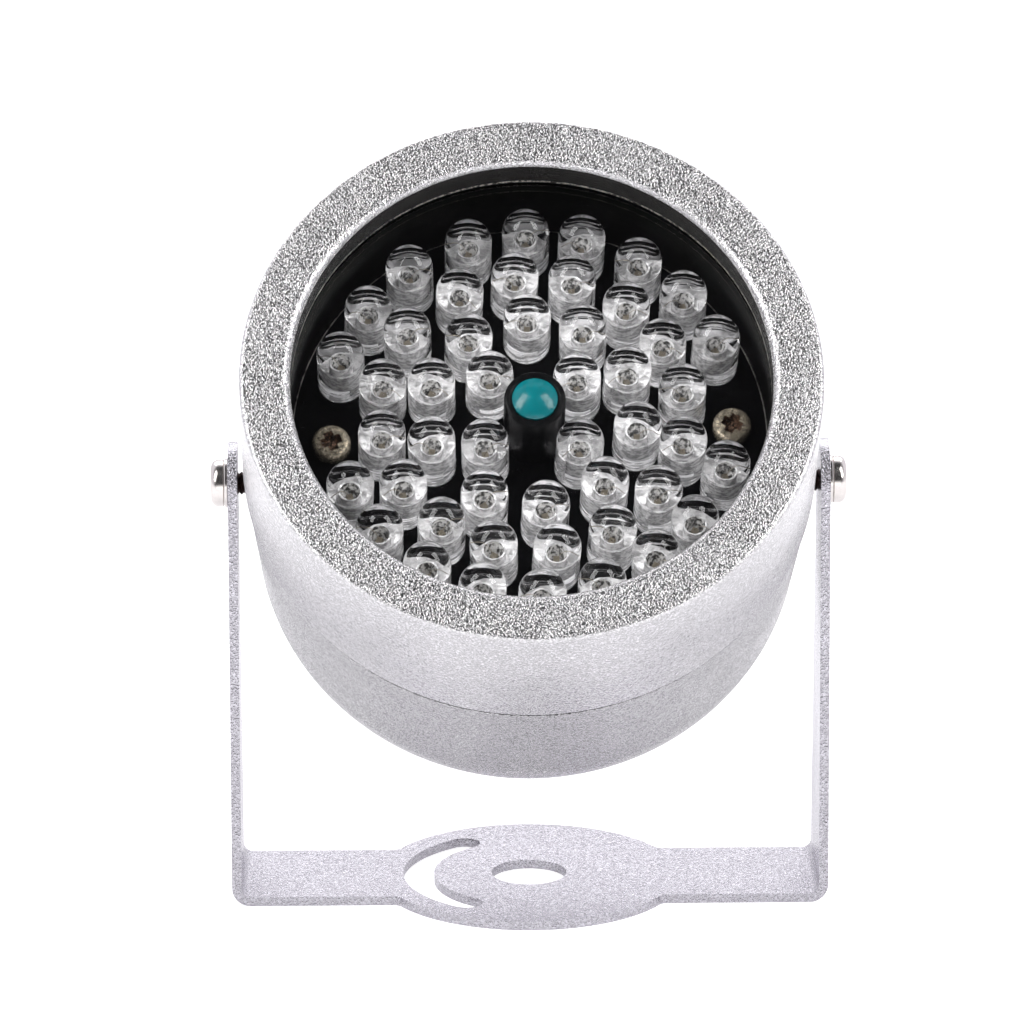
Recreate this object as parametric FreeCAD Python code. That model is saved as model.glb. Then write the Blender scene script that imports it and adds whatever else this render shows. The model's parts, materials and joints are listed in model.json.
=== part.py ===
import FreeCAD, Part
import math
import os

from FreeCAD import Vector

# Infrared illuminator on a folded bracket, in millimetres.
# Origin: centre of the bracket's base hole, on the underside. +Z up, the lamp looks towards -Y and up.
# The lamp is first drawn in its own frame: its axis is +Z, its tilt axis is X through the origin,
# and "depth" is the distance behind its front face.

# Bracket
BRACKET_WIDTH = 63.2          # over the outer faces of the legs
SHEET = 1.0
STRIP_WIDTH = 15.2
BEND_OUTER_R = 2.0
BASE_DISC_R = 15.9
BASE_BLEND_R = 1.0            # where the disc meets the strip
BASE_HOLE_R = 4.0
SLOT_ARC_R = 11.8
SLOT_WIDTH = 3.3
SLOT_HALF_ANGLE = 55.0
TILT_HEIGHT = 44.5            # tilt axis over the underside
EAR_R = 4.4
EAR_CLEARANCE = 0.07          # radial, around the pivot screw

# Lamp
REST_ELEVATION = 42.5         # the lamp's axis over the horizontal, as it stands in the photograph
FRONT = 24.25                 # front face ahead of the tilt axis
BEZEL_R = 30.0
OPENING_R = 24.75
EDGE_R = 0.85                 # rounding of the bezel's outer and inner edge
EDGE_STEPS = 2                # conical bands in each rounding
LIP_DEPTH = 3.9               # thickness of the lip that holds the window
SEAM_DEPTH = 18.0
SEAM_GAP = 0.15
THREAD_R = 28.2               # plain cylinder in place of the fine thread
THREAD_TOP = 8.6
FIT = 0.1                     # radial gap between pieces that slide together

# Rear shell
REAR_R = 29.8                 # just behind the seam
SHOULDER_R = 28.75            # where the taper ends
SHOULDER_DEPTH = 34.2
SHOULDER_LENGTH = 13.6
SHOULDER_STEPS = 4            # conical bands in the rounded shoulder
BACK_FLAT_R = 12.75
BACK_DEPTH = SHOULDER_DEPTH + SHOULDER_LENGTH
BACK_WALL = 2.4
SPIGOT_TOP = 9.0
SPIGOT_BORE_R = 26.6
SEAL_GROOVE_R = 27.1
SEAL_GROOVE_TOP = 16.6
COLUMN_R = 3.4                # the two columns that carry the board and take the pivot screws

# Inside
WINDOW_T = 1.0
WINDOW_GASKET_T = 0.3
WINDOW_R = 26.7
SPACER_R = 24.9               # inner radius of the tube between window and board
RING_SIDES = 40               # the hidden rings are drawn with flats
BOARD_DEPTH = 15.0
BOARD_T = 1.6
BOARD_BACK = BOARD_DEPTH + BOARD_T
BOARD_R = 26.4
BOARD_TURN = 2.4              # the board sits slightly turned
BOARD_SCREW_R = 20.9          # from the middle of the drilled pattern
PATTERN_X = 0.2               # the drilled pattern sits a little off the lamp's axis
PATTERN_Y = 0.3

# Light emitting diodes: 5 mm parts without a collar, ring radius and angles on the board
LED_R = 2.45
LED_HEIGHT = 8.8
LED_SIDES = 8
LED_RINGS = {
    "led_ring_centre": (6.1, (39, 136, 217, 321)),
    "led_ring_inner": (10.9, (25, 60, 92, 127, 162, 198, 242, 276, 312, 351)),
    "led_ring_middle": (15.85, (9, 30, 51, 74, 96, 118, 144, 168,
                                190, 212, 233, 255, 278, 300, 324, 347)),
    "led_ring_outer": (20.8, (23, 40, 57, 75, 91, 108, 127, 145, 162,
                              204, 220, 238, 255, 272, 289, 307, 323, 342)),
}

# Light sensor in its sleeve
SENSOR_X = 0.4
SENSOR_R = 2.35
SENSOR_TIP = 5.3
SENSOR_STEPS = 2              # conical bands in its dome
SLEEVE_BORE_R = 2.4
SLEEVE_R = 3.2
SLEEVE_TOP = 6.1

# On the back of the board: sizes are width, length and height, places are corners
RESISTOR_SIZE = (3.2, 1.6, 0.6)
RESISTOR_PLACE = (-13.0, 6.5)
RESISTOR_PITCH = 3.2
RESISTOR_COUNT = 6
TRANSISTOR_SIZE = (6.6, 6.1, 2.3)
TRANSISTOR_PLACE = (2.0, -2.0)
HEAT_TAB_SIZE = (5.3, 1.2, 0.5)
LEG_SIZE = (0.7, 2.6, 0.5)
LEG_PITCH = 2.3
DIODE_SIZE = (4.3, 2.6, 2.1)
DIODE_PLACE = (2.9, -10.5)
DIODE_END_SIZE = (5.2, 1.5, 0.4)

# Screws
PIVOT_SCREW_R = 1.25
PIVOT_HEAD_R = 2.5
PIVOT_HEAD_H = 1.5
PIVOT_LENGTH = 9.6
WASHER_R = 2.6
WASHER_T = 0.35
HEAD_GAP = 0.05               # between leg, washer and head
BOARD_SCREW_SHANK_R = 1.1
BOARD_HEAD_R = 2.05
BOARD_HEAD_H = 1.3
BOARD_SCREW_LENGTH = 6.0
HOLE_SPARE = 0.6              # a tapped hole goes this much deeper than its screw

# Cable inlet
INLET_R = 3.5
INLET_BORE_R = 2.1
INLET_FLANGE_R = 4.8
INLET_FLANGE_T = 1.1
INLET_LIP_R = 4.4             # inside the wall, holds the grommet in
INLET_LIP_T = 1.0

AXIS_X = Vector(1, 0, 0)
AXIS_Y = Vector(0, 1, 0)
AXIS_Z = Vector(0, 0, 1)
ORIGIN = Vector(0, 0, 0)


def at(radius, depth):
    """A point of a lathe profile: radius from the lamp's axis and depth behind its front face."""
    return Vector(radius, 0, FRONT - depth)


def on_board(radius, angle):
    """A place on the board, in the plane of the tilt axis."""
    turn = math.radians(angle)
    return Vector(radius * math.cos(turn), radius * math.sin(turn), 0)


def drilled(radius, angle):
    """A place of the board's drilled pattern, in the plane of the tilt axis."""
    return Vector(PATTERN_X, PATTERN_Y, 0) + on_board(radius, angle)


def polygon(points):
    """Straight edges through the points, open."""
    return [Part.LineSegment(a, b).toShape() for a, b in zip(points, points[1:])]


def rounding(centre, start, end, steps):
    """The points of a quarter of an ellipse about centre, evenly stepped from start to end."""
    turns = [math.pi / 2 * step / steps for step in range(steps + 1)]
    return [centre + (start - centre) * math.cos(turn) + (end - centre) * math.sin(turn)
            for turn in turns]


def lathe(points):
    """Turn a profile about the lamp's axis. The line from its last point to its first closes it."""
    wire = Part.Wire(polygon(points + points[:1]))
    return Part.Face(wire).revolve(ORIGIN, AXIS_Z, 360)


def disc(radius, top, bottom):
    """A plain disc between two depths."""
    return Part.makeCylinder(radius, bottom - top, Vector(0, 0, FRONT - bottom), AXIS_Z)


def flats(centre, radius, sides):
    """The corners of a regular polygon."""
    return [centre + on_board(radius, 360 * k / sides) for k in range(sides)]


def flat_face(corners):
    """A flat face through its corners."""
    return Part.Face(Part.makePolygon(corners + corners[:1]))


def ring_with_flats(inner, outer, top, bottom):
    """A hidden ring drawn with flats, clear of the round walls inside and outside it."""
    foot = Vector(0, 0, FRONT - bottom)
    hole = flat_face(flats(foot, inner / math.cos(math.pi / RING_SIDES), RING_SIDES))
    rim = flat_face(flats(foot, outer, RING_SIDES))
    return rim.cut(hole).Faces[0].extrude(AXIS_Z * (bottom - top))


def prism(outline, height):
    """A closed outline of edges made solid along the given vector."""
    return Part.Face(Part.Wire(Part.sortEdges(outline)[0])).extrude(height)


def screw_places():
    """The two board screws, on the pattern's horizontal diameter."""
    return [drilled(BOARD_SCREW_R, BOARD_TURN), drilled(BOARD_SCREW_R, BOARD_TURN + 180)]


# Bracket

def folded_sheet():
    """The strip folded up into a U, still as wide as the base disc."""
    half = BRACKET_WIDTH / 2
    top = TILT_HEIGHT + EAR_R + BEND_OUTER_R
    inside = half - SHEET
    block = Part.makeBox(2 * half, 2 * BASE_DISC_R, top, Vector(-half, -BASE_DISC_R, 0))
    hollow = Part.makeBox(2 * inside, 2 * BASE_DISC_R, top, Vector(-inside, -BASE_DISC_R, SHEET))
    block = round_long_edges(block, half, BEND_OUTER_R)
    return block.cut(round_long_edges(hollow, inside, BEND_OUTER_R - SHEET))


def round_long_edges(box, half, radius):
    """Round the two lowest edges of a box that run along Y."""
    lowest = box.BoundBox.ZMin
    picked = [edge for edge in box.Edges
              if edge.BoundBox.ZMax - lowest < 1e-6 and edge.BoundBox.XLength < 1e-6
              and abs(abs(edge.BoundBox.XMin) - half) < 1e-6]
    return box.makeFillet(radius, picked)


def leg_outline():
    """Seen from the side: the strip's width at the bend, tapering to a round ear about the pivot."""
    half = STRIP_WIDTH / 2
    low = BEND_OUTER_R
    reach = math.hypot(half, TILT_HEIGHT - low)
    tangent = math.acos(EAR_R / reach) - math.atan2(TILT_HEIGHT - low, half)
    touch_y = EAR_R * math.cos(tangent)
    touch_z = TILT_HEIGHT + EAR_R * math.sin(tangent)
    right = Vector(0, touch_y, touch_z)
    left = Vector(0, -touch_y, touch_z)
    ear = Part.Arc(right, Vector(0, 0, TILT_HEIGHT + EAR_R), left).toShape()
    sides = [left, Vector(0, -half, low), Vector(0, -half, 0), Vector(0, half, 0),
             Vector(0, half, low), right]
    return polygon(sides) + [ear]


def base_disc():
    """The round middle of the base, blended into the strip's edges."""
    half = STRIP_WIDTH / 2
    blend_x = math.sqrt((BASE_DISC_R + BASE_BLEND_R) ** 2 - (half + BASE_BLEND_R) ** 2)
    touch = BASE_DISC_R / (BASE_DISC_R + BASE_BLEND_R)
    plate = Part.makeCylinder(BASE_DISC_R, SHEET)
    for side in (-1, 1):
        for front in (-1, 1):
            centre = Vector(side * blend_x, front * (half + BASE_BLEND_R), 0)
            on_disc = centre * touch
            on_strip = Vector(centre.x, front * half, 0)
            under_disc = Vector(on_disc.x, front * (half - BASE_BLEND_R), 0)
            under_strip = Vector(centre.x, under_disc.y, 0)
            chord = (on_disc + on_strip) * 0.5 - centre
            bulge = centre + chord * (BASE_BLEND_R / chord.Length)
            blend = Part.Arc(on_disc, bulge, on_strip).toShape()
            edges = polygon([on_strip, under_strip, under_disc, on_disc]) + [blend]
            plate = plate.fuse(prism(edges, AXIS_Z * SHEET))
    return plate


def curved_slot():
    """The slot on the left of the base, round about the base hole."""
    inner = SLOT_ARC_R - SLOT_WIDTH / 2
    outer = SLOT_ARC_R + SLOT_WIDTH / 2
    section = flat_face([Vector(inner, 0, 0), Vector(outer, 0, 0), Vector(outer, 0, SHEET),
                         Vector(inner, 0, SHEET)])
    slot = section.revolve(ORIGIN, AXIS_Z, 2 * SLOT_HALF_ANGLE)
    slot.rotate(ORIGIN, AXIS_Z, 180 - SLOT_HALF_ANGLE)
    for angle in (180 - SLOT_HALF_ANGLE, 180 + SLOT_HALF_ANGLE):
        slot = slot.fuse(Part.makeCylinder(SLOT_WIDTH / 2, SHEET, on_board(SLOT_ARC_R, angle)))
    return slot


def make_bracket():
    """One folded sheet: base with disc, hole and slot, and two legs with pivot holes."""
    half = BRACKET_WIDTH / 2
    legs = prism(leg_outline(), AXIS_X * BRACKET_WIDTH)
    legs.translate(AXIS_X * -half)
    sheet = folded_sheet().common(legs.fuse(base_disc()))
    sheet = sheet.cut(Part.makeCylinder(BASE_HOLE_R, SHEET))
    sheet = sheet.cut(curved_slot())
    pivot = Part.makeCylinder(PIVOT_SCREW_R + EAR_CLEARANCE, BRACKET_WIDTH,
                              Vector(-half, 0, TILT_HEIGHT), AXIS_X)
    return sheet.cut(pivot).removeSplitter()


# Housing

def make_front_shell():
    """Front casting: bezel, lip over the window and the wall that screws over the rear shell."""
    seat_r = WINDOW_R + FIT
    inner_edge = rounding(at(OPENING_R + EDGE_R, EDGE_R), at(OPENING_R, EDGE_R),
                          at(OPENING_R + EDGE_R, 0), EDGE_STEPS)
    outer_edge = rounding(at(BEZEL_R - EDGE_R, EDGE_R), at(BEZEL_R - EDGE_R, 0),
                          at(BEZEL_R, EDGE_R), EDGE_STEPS)
    wall = [at(BEZEL_R, SEAM_DEPTH), at(THREAD_R, SEAM_DEPTH), at(THREAD_R, THREAD_TOP),
            at(seat_r, THREAD_TOP), at(seat_r, LIP_DEPTH), at(OPENING_R, LIP_DEPTH)]
    return lathe(inner_edge + outer_edge + wall)


def rear_outline():
    """Outside of the rear casting: spigot, seal groove, tapered wall, rounded shoulder, flat back."""
    spigot_r = THREAD_R - FIT
    seam = SEAM_DEPTH + SEAM_GAP
    shoulder = rounding(at(BACK_FLAT_R, SHOULDER_DEPTH), at(SHOULDER_R, SHOULDER_DEPTH),
                        at(BACK_FLAT_R, BACK_DEPTH), SHOULDER_STEPS)
    front = [at(0, SPIGOT_TOP), at(spigot_r, SPIGOT_TOP), at(spigot_r, SEAL_GROOVE_TOP),
             at(SEAL_GROOVE_R, SEAL_GROOVE_TOP), at(SEAL_GROOVE_R, seam), at(REAR_R, seam)]
    return front + shoulder + [at(0, BACK_DEPTH)]


def column(place, bottom):
    """One column with the web that joins it to the wall, from the board's back to the given depth."""
    height = bottom - BOARD_BACK
    foot = Vector(place.x, place.y, FRONT - bottom)
    web = Part.makeBox(REAR_R - BOARD_SCREW_R, 2 * COLUMN_R, height,
                       Vector(0, -COLUMN_R, 0))
    if place.x < 0:
        web.rotate(ORIGIN, AXIS_Z, 180)
    web.translate(foot)
    return Part.makeCylinder(COLUMN_R, height, foot, AXIS_Z).fuse(web)


def rear_cavity():
    """The hollow of the rear casting, with the two columns left standing."""
    inner_back = BACK_DEPTH - BACK_WALL
    hollow = lathe([at(0, SPIGOT_TOP), at(SPIGOT_BORE_R, SPIGOT_TOP), at(SPIGOT_BORE_R, SEAM_DEPTH),
                    at(SHOULDER_R - BACK_WALL, SHOULDER_DEPTH), at(BACK_FLAT_R, inner_back),
                    at(0, inner_back)])
    for place in screw_places():
        hollow = hollow.cut(column(place, inner_back))
    return hollow


def make_rear_shell():
    """Rear casting with spigot, columns, tapped holes for the screws and the cable hole."""
    shell = lathe(rear_outline()).cut(rear_cavity())
    depth = BOARD_SCREW_LENGTH - BOARD_T + HOLE_SPARE
    for place in screw_places():
        mouth = place + AXIS_Z * (FRONT - BOARD_BACK)
        shell = shell.cut(Part.makeCylinder(BOARD_SCREW_SHANK_R, depth, mouth, AXIS_Z * -1))
    bottom = BRACKET_WIDTH / 2 - PIVOT_LENGTH - HOLE_SPARE
    for outward in (AXIS_X, AXIS_X * -1):
        tapped = Part.makeCylinder(PIVOT_SCREW_R, REAR_R - bottom, outward * bottom, outward)
        shell = shell.cut(tapped)
    return shell.cut(disc(INLET_R, BACK_DEPTH - BACK_WALL, BACK_DEPTH)).removeSplitter()


def make_window():
    """Clear round window behind the lip."""
    top = LIP_DEPTH + WINDOW_GASKET_T
    return disc(WINDOW_R, top, top + WINDOW_T)


def make_window_gasket():
    """Flat rubber ring between the lip and the window."""
    return ring_with_flats(OPENING_R + FIT, WINDOW_R, LIP_DEPTH, LIP_DEPTH + WINDOW_GASKET_T)


def make_spacer_tube():
    """Black tube that holds the window off the board and hides the bare casting."""
    top = LIP_DEPTH + WINDOW_GASKET_T + WINDOW_T
    return ring_with_flats(SPACER_R, BOARD_R, top, BOARD_DEPTH)


def make_seam_seal():
    """Rubber ring in the groove under the seam."""
    return ring_with_flats(SEAL_GROOVE_R, THREAD_R, SEAL_GROOVE_TOP + FIT, SEAM_DEPTH - FIT)


# Board and what it carries

def make_board():
    """Round board with its two screw holes."""
    board = disc(BOARD_R, BOARD_DEPTH, BOARD_BACK)
    for place in screw_places():
        foot = place + AXIS_Z * (FRONT - BOARD_BACK)
        board = board.cut(Part.makeCylinder(BOARD_SCREW_SHANK_R + FIT, BOARD_T, foot, AXIS_Z))
    return board


def make_led(place):
    """One clear diode: a round body with a domed tip, both drawn with flats."""
    base = place + AXIS_Z * (FRONT - BOARD_DEPTH)
    dome = LED_HEIGHT - LED_R
    levels = [(LED_R, 0), (LED_R, dome), (0.8 * LED_R, dome + 0.6 * LED_R), (0.35 * LED_R, LED_HEIGHT)]
    rows = [flats(base + AXIS_Z * height, radius, LED_SIDES) for radius, height in levels]
    faces = [flat_face(rows[0]), flat_face(rows[-1])]
    for low, high in zip(rows, rows[1:]):
        for k in range(LED_SIDES):
            after = (k + 1) % LED_SIDES
            faces.append(flat_face([low[k], low[after], high[after], high[k]]))
    return Part.makeSolid(Part.makeShell(faces))


def make_led_ring(radius, angles):
    """All diodes of one ring, each a solid of its own."""
    return Part.makeCompound([make_led(drilled(radius, angle)) for angle in angles])


def make_light_sensor():
    """Light sensor: a coloured 5 mm body with a domed tip."""
    dome = SENSOR_TIP + SENSOR_R
    tip = rounding(at(0, dome), at(0, SENSOR_TIP), at(SENSOR_R, dome), SENSOR_STEPS)
    body = lathe(tip + [at(SENSOR_R, BOARD_DEPTH), at(0, BOARD_DEPTH)])
    body.translate(Vector(SENSOR_X, PATTERN_Y, 0))
    return body


def make_sensor_sleeve():
    """Rubber sleeve that keeps the diodes' light off the sensor."""
    sleeve = lathe([at(SLEEVE_BORE_R, SLEEVE_TOP), at(SLEEVE_R, SLEEVE_TOP),
                    at(SLEEVE_R, BOARD_DEPTH), at(SLEEVE_BORE_R, BOARD_DEPTH)])
    sleeve.translate(Vector(SENSOR_X, PATTERN_Y, 0))
    return sleeve


def box_on_back(size, x, y):
    """A box that hangs from the back of the board, its corner at x and y."""
    width, length, height = size
    return Part.makeBox(width, length, height, Vector(x, y, FRONT - BOARD_BACK - height))


def make_resistors():
    """A row of chip resistors, one for each string of diodes."""
    x, y = RESISTOR_PLACE
    return Part.makeCompound([box_on_back(RESISTOR_SIZE, x, y - RESISTOR_PITCH * row)
                              for row in range(RESISTOR_COUNT)])


def make_switch_transistor():
    """Power transistor: body, heat tab and three legs in one."""
    x, y = TRANSISTOR_PLACE
    side = (TRANSISTOR_SIZE[0] - HEAT_TAB_SIZE[0]) / 2
    shape = box_on_back(TRANSISTOR_SIZE, x, y)
    shape = shape.fuse(box_on_back(HEAT_TAB_SIZE, x + side, y + TRANSISTOR_SIZE[1]))
    for leg in range(3):
        shape = shape.fuse(box_on_back(LEG_SIZE, x + side + LEG_PITCH * leg, y - LEG_SIZE[1]))
    return shape.removeSplitter()


def make_input_diode():
    """Diode that guards the supply against crossed wires."""
    x, y = DIODE_PLACE
    side = (DIODE_SIZE[0] - DIODE_END_SIZE[0]) / 2
    middle = (DIODE_SIZE[1] - DIODE_END_SIZE[1]) / 2
    ends = box_on_back(DIODE_END_SIZE, x + side, y + middle)
    return box_on_back(DIODE_SIZE, x, y).fuse(ends).removeSplitter()


# Fasteners and inlet

def pan_head_screw(head_r, head_h, shank_r, length):
    """A pan-head screw along +Z, its seat at the origin, the shank below it, with a cross recess."""
    screw = lathe([Vector(0, 0, -length), Vector(shank_r, 0, -length), Vector(shank_r, 0, 0),
                   Vector(head_r, 0, 0), Vector(head_r, 0, 0.55 * head_h),
                   Vector(0.7 * head_r, 0, head_h), Vector(0, 0, head_h)])
    span, slot, recess = head_r, 0.24 * head_r, 0.55 * head_h
    for width, length in ((span, slot), (slot, span)):
        corner = Vector(-width / 2, -length / 2, head_h - recess)
        screw = screw.cut(Part.makeBox(width, length, recess, corner))
    return screw


def make_board_screws():
    """Two screws that hold the board on the rear shell's columns."""
    screws = []
    for place, turn in zip(screw_places(), (20, 65)):
        screw = pan_head_screw(BOARD_HEAD_R, BOARD_HEAD_H, BOARD_SCREW_SHANK_R, BOARD_SCREW_LENGTH)
        screw.rotate(ORIGIN, AXIS_Z, turn)
        screw.translate(place + AXIS_Z * (FRONT - BOARD_DEPTH))
        screws.append(screw)
    return Part.makeCompound(screws)


def make_pivot_screws():
    """Two screws through the bracket's ears, on which the lamp tilts."""
    seat = BRACKET_WIDTH / 2 + 2 * HEAD_GAP + WASHER_T
    screws = []
    for side, turn in ((-1, 30), (1, 75)):
        screw = pan_head_screw(PIVOT_HEAD_R, PIVOT_HEAD_H, PIVOT_SCREW_R, PIVOT_LENGTH)
        screw.rotate(ORIGIN, AXIS_Z, turn)
        screw.rotate(ORIGIN, AXIS_Y, 90 * side)
        screw.translate(AXIS_X * (side * seat))
        screws.append(screw)
    return Part.makeCompound(screws)


def make_pivot_washers():
    """Thin washers between the ears and the screw heads."""
    washers = []
    for outward in (AXIS_X, AXIS_X * -1):
        start = outward * (BRACKET_WIDTH / 2 + HEAD_GAP)
        washer = Part.makeCylinder(WASHER_R, WASHER_T, start, outward)
        washers.append(washer.cut(Part.makeCylinder(PIVOT_SCREW_R + FIT, WASHER_T, start, outward)))
    return Part.makeCompound(washers)


def make_cable_grommet():
    """Rubber grommet in the hole at the middle of the back, open for the cable."""
    inner_face = BACK_DEPTH - BACK_WALL
    lip = inner_face - INLET_LIP_T
    tip = BACK_DEPTH + INLET_FLANGE_T
    return lathe([at(INLET_BORE_R, lip), at(INLET_LIP_R, lip), at(INLET_LIP_R, inner_face),
                  at(INLET_R, inner_face), at(INLET_R, BACK_DEPTH), at(INLET_FLANGE_R, BACK_DEPTH),
                  at(INLET_FLANGE_R, tip), at(INLET_BORE_R, tip)])


def place_lamp(shape):
    """Tilt the lamp about the pivot axis and lift it to the bracket's ears."""
    shape = shape.copy()
    shape.rotate(ORIGIN, AXIS_X, 90 - REST_ELEVATION)
    shape.translate(AXIS_Z * TILT_HEIGHT)
    return shape


def main():
    os.makedirs("parts", exist_ok=True)
    lamp = {
        "front_shell": make_front_shell(),
        "rear_shell": make_rear_shell(),
        "window": make_window(),
        "window_gasket": make_window_gasket(),
        "spacer_tube": make_spacer_tube(),
        "seam_seal": make_seam_seal(),
        "led_board": make_board(),
        "light_sensor": make_light_sensor(),
        "sensor_sleeve": make_sensor_sleeve(),
        "resistors": make_resistors(),
        "switch_transistor": make_switch_transistor(),
        "input_diode": make_input_diode(),
        "board_screws": make_board_screws(),
        "pivot_screws": make_pivot_screws(),
        "pivot_washers": make_pivot_washers(),
        "cable_grommet": make_cable_grommet(),
    }
    for name, (radius, angles) in LED_RINGS.items():
        lamp[name] = make_led_ring(radius, angles)
    nodes = {name: place_lamp(shape) for name, shape in lamp.items()}
    nodes["bracket"] = make_bracket()
    for name, shape in nodes.items():
        shape.exportStep("parts/" + name + ".step")
        print(name, "solids", len(shape.Solids), "valid", shape.isValid(), "mm3", round(shape.Volume, 1))


main()
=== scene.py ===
import json
import math
import random

import bmesh
import bpy
from bpy.props import (FloatProperty, FloatVectorProperty, IntProperty, PointerProperty)
from bpy.types import Operator, Panel, PropertyGroup
from mathutils import Matrix, Vector


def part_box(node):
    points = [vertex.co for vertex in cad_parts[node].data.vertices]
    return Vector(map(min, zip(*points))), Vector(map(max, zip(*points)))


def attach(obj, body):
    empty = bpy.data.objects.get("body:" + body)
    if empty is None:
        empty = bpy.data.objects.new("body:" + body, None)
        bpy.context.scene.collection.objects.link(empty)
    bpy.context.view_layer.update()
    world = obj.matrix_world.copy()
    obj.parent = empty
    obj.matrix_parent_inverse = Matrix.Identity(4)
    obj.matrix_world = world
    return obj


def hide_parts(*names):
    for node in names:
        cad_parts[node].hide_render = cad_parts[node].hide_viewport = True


bl_info = {
    "name": "Infrared Illuminator Dressing",
    "version": (1, 0, 0),
    "blender": (4, 5, 0),
    "location": "View3D > Sidebar > Illuminator",
    "description": "Builds the finished shells, diodes, screws, bracket and stage of a small infrared lamp",
    "category": "Object",
}

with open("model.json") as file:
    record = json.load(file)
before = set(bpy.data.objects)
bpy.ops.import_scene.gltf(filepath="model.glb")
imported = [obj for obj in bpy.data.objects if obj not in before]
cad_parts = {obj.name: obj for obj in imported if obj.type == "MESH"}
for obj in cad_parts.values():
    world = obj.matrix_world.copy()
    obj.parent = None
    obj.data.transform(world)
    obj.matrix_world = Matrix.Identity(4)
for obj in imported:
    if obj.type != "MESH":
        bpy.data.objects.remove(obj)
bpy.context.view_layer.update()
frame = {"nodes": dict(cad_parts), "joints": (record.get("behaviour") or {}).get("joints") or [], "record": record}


def mount(name):
    """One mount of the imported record."""
    return next(entry for entry in frame["record"]["mounts"] if entry["name"] == name)


# The lamp's own frame: its axis is +Z towards the front, the tilt axis is X through the origin
TILT_POINT = Vector(frame["joints"][0]["pos_m"])
LAMP_AXIS = -Vector(mount("cable_inlet")["axis"]).normalized()
LAMP_PLACE = (Matrix.Translation(TILT_POINT)
              @ Matrix.Rotation(math.pi / 2 - math.asin(LAMP_AXIS.z), 4, "X"))
LAMP_INVERSE = LAMP_PLACE.inverted()
INLET_BORE = mount("cable_inlet")["dims"]["r_mm"] / 1000
DIODE_RINGS = ("led_ring_centre", "led_ring_inner", "led_ring_middle", "led_ring_outer")


def lamp_corners(node):
    """The points of a CAD node in the lamp's own frame."""
    return [LAMP_INVERSE @ vertex.co for vertex in frame["nodes"][node].data.vertices]


def reach(node):
    """A CAD node's largest radius about the lamp's axis."""
    return max(math.hypot(point.x, point.y) for point in lamp_corners(node))


def lamp_box(node):
    """A CAD node's middle in the lamp's own frame, and half its width across the lamp."""
    points = lamp_corners(node)
    low = Vector([min(point[axis] for point in points) for axis in range(3)])
    high = Vector([max(point[axis] for point in points) for axis in range(3)])
    return (low + high) / 2, (high.x - low.x) / 2


FRONT = max(point.z for point in lamp_corners("front_shell"))


def depth_span(node):
    """A CAD node's least and greatest depth behind the lamp's front face."""
    levels = [FRONT - point.z for point in lamp_corners(node)]
    return min(levels), max(levels)


# Sizes and colours that a user would change

class HousingSizes(PropertyGroup):
    bezel_radius: FloatProperty(name="Bezel radius", description="Outside of the front shell",
                                default=reach("front_shell"), unit="LENGTH")
    opening_radius: FloatProperty(name="Opening radius", description="Clear opening of the bezel",
                                  default=0.02475, unit="LENGTH")
    edge_radius: FloatProperty(name="Edge radius", description="Rounding of the bezel's inner edge",
                               default=0.00085, unit="LENGTH")
    outer_edge: FloatProperty(name="Outer edge", description="Rounding of the bezel's outer edge",
                              default=0.00045, unit="LENGTH")
    lip_depth: FloatProperty(name="Lip depth", description="Thickness of the lip over the window",
                             default=0.0039, unit="LENGTH")
    seat_radius: FloatProperty(name="Seat radius", description="Seat of the window behind the lip",
                               default=0.0268, unit="LENGTH")
    thread_radius: FloatProperty(name="Thread radius", description="Where front and rear shell join",
                                 default=0.0282, unit="LENGTH")
    thread_top: FloatProperty(name="Thread top", description="Depth at which the thread starts",
                              default=0.0086, unit="LENGTH")
    seam_depth: FloatProperty(name="Seam depth", description="Depth of the seam between the shells",
                              default=0.018, unit="LENGTH")
    seam_gap: FloatProperty(name="Seam gap", description="Open width of the seam",
                            default=0.00065, unit="LENGTH")
    soft_edge: FloatProperty(name="Soft edge", description="Small rounding of painted edges",
                             default=0.0001, unit="LENGTH")
    lathe_steps: IntProperty(name="Lathe steps", description="Steps of each turned shape",
                             default=180, min=24)


class DiodeSizes(PropertyGroup):
    radius: FloatProperty(name="Radius", description="Radius of a diode's resin body",
                          default=0.00248, unit="LENGTH")
    base_gap: FloatProperty(name="Base gap", description="Gap between the board and a diode",
                            default=0.00012, unit="LENGTH")
    cup_level: FloatProperty(name="Cup level", description="Rim of the reflector cup over the board",
                             default=0.0054, unit="LENGTH")
    cup_radius: FloatProperty(name="Cup radius", description="Rim radius of the reflector cup",
                              default=0.00066, unit="LENGTH")
    # The white middle of a diode's foot is painted light.
    painted_foot_radius: FloatProperty(name="Painted light foot", description="Radius of the matt middle of a diode's foot",
                               default=0.00188, unit="LENGTH")
    lean: FloatProperty(name="Lean", description="Largest lean of a hand-placed diode",
                        default=math.radians(1.2), unit="ROTATION")
    body_steps: IntProperty(name="Body steps", description="Steps round a diode", default=32, min=12)


class PaintLook(PropertyGroup):
    silver: FloatVectorProperty(name="Silver", description="Colour of the metallic paint",
                                subtype="COLOR", default=(0.94, 0.93, 0.94), size=3)
    shade: FloatVectorProperty(name="Shade", description="Colour in the hollows of the grain",
                               subtype="COLOR", default=(0.38, 0.375, 0.38), size=3)
    grain_size: FloatProperty(name="Grain size", description="Size of one grain of the paint",
                              default=0.00023, unit="LENGTH")
    grain_height: FloatProperty(name="Grain height", description="Height of the grain",
                                default=0.00004, unit="LENGTH")


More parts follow.
